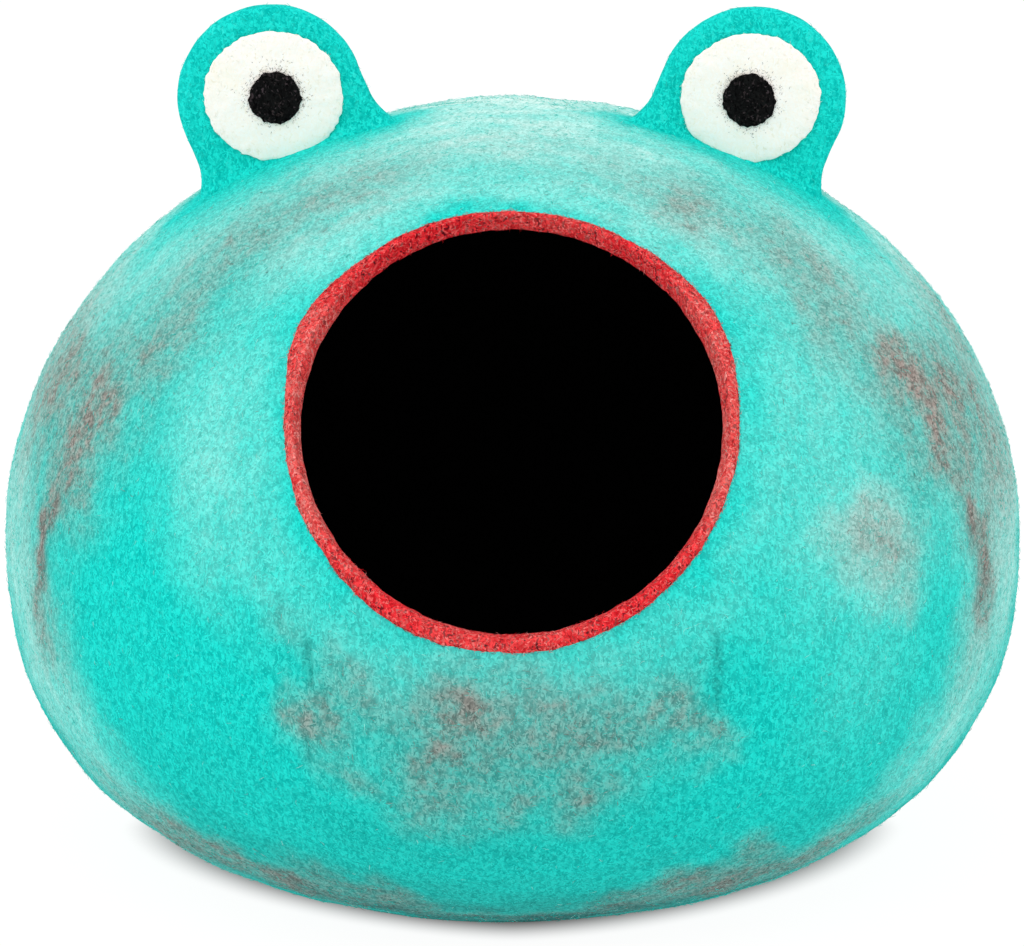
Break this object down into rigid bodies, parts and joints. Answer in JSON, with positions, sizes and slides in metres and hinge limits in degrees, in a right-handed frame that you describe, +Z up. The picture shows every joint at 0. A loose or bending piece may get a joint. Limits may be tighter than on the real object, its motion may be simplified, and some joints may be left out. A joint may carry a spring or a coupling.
{
  "type": "felt cat cave",
  "caption": "Hollow ball-shaped cat bed of wet-felted wool with a round mouth high in its front and two frog-eye tabs on top.",
  "frame": {"origin": "middle of the flat base that the cave rests on", "axes": "+Z up, the mouth faces -Y, +X to the right as one looks into the mouth"},
  "size_m": [0.5016, 0.4994, 0.4202],
  "materials": {
    "turquoise_felt": "matt felted wool",
    "red_felt": "matt felted wool",
    "white_felt": "matt felted wool",
    "black_felt": "matt felted wool"
  },
  "bodies": {
    "root": {"shell": "turquoise_felt", "mouth_band": "red_felt", "eye_tab_left": "turquoise_felt", "eye_tab_right": "turquoise_felt", "eye_white_left": "white_felt", "eye_white_right": "white_felt", "pupil_left": "black_felt", "pupil_right": "black_felt"}
  },
  "joints": []
}
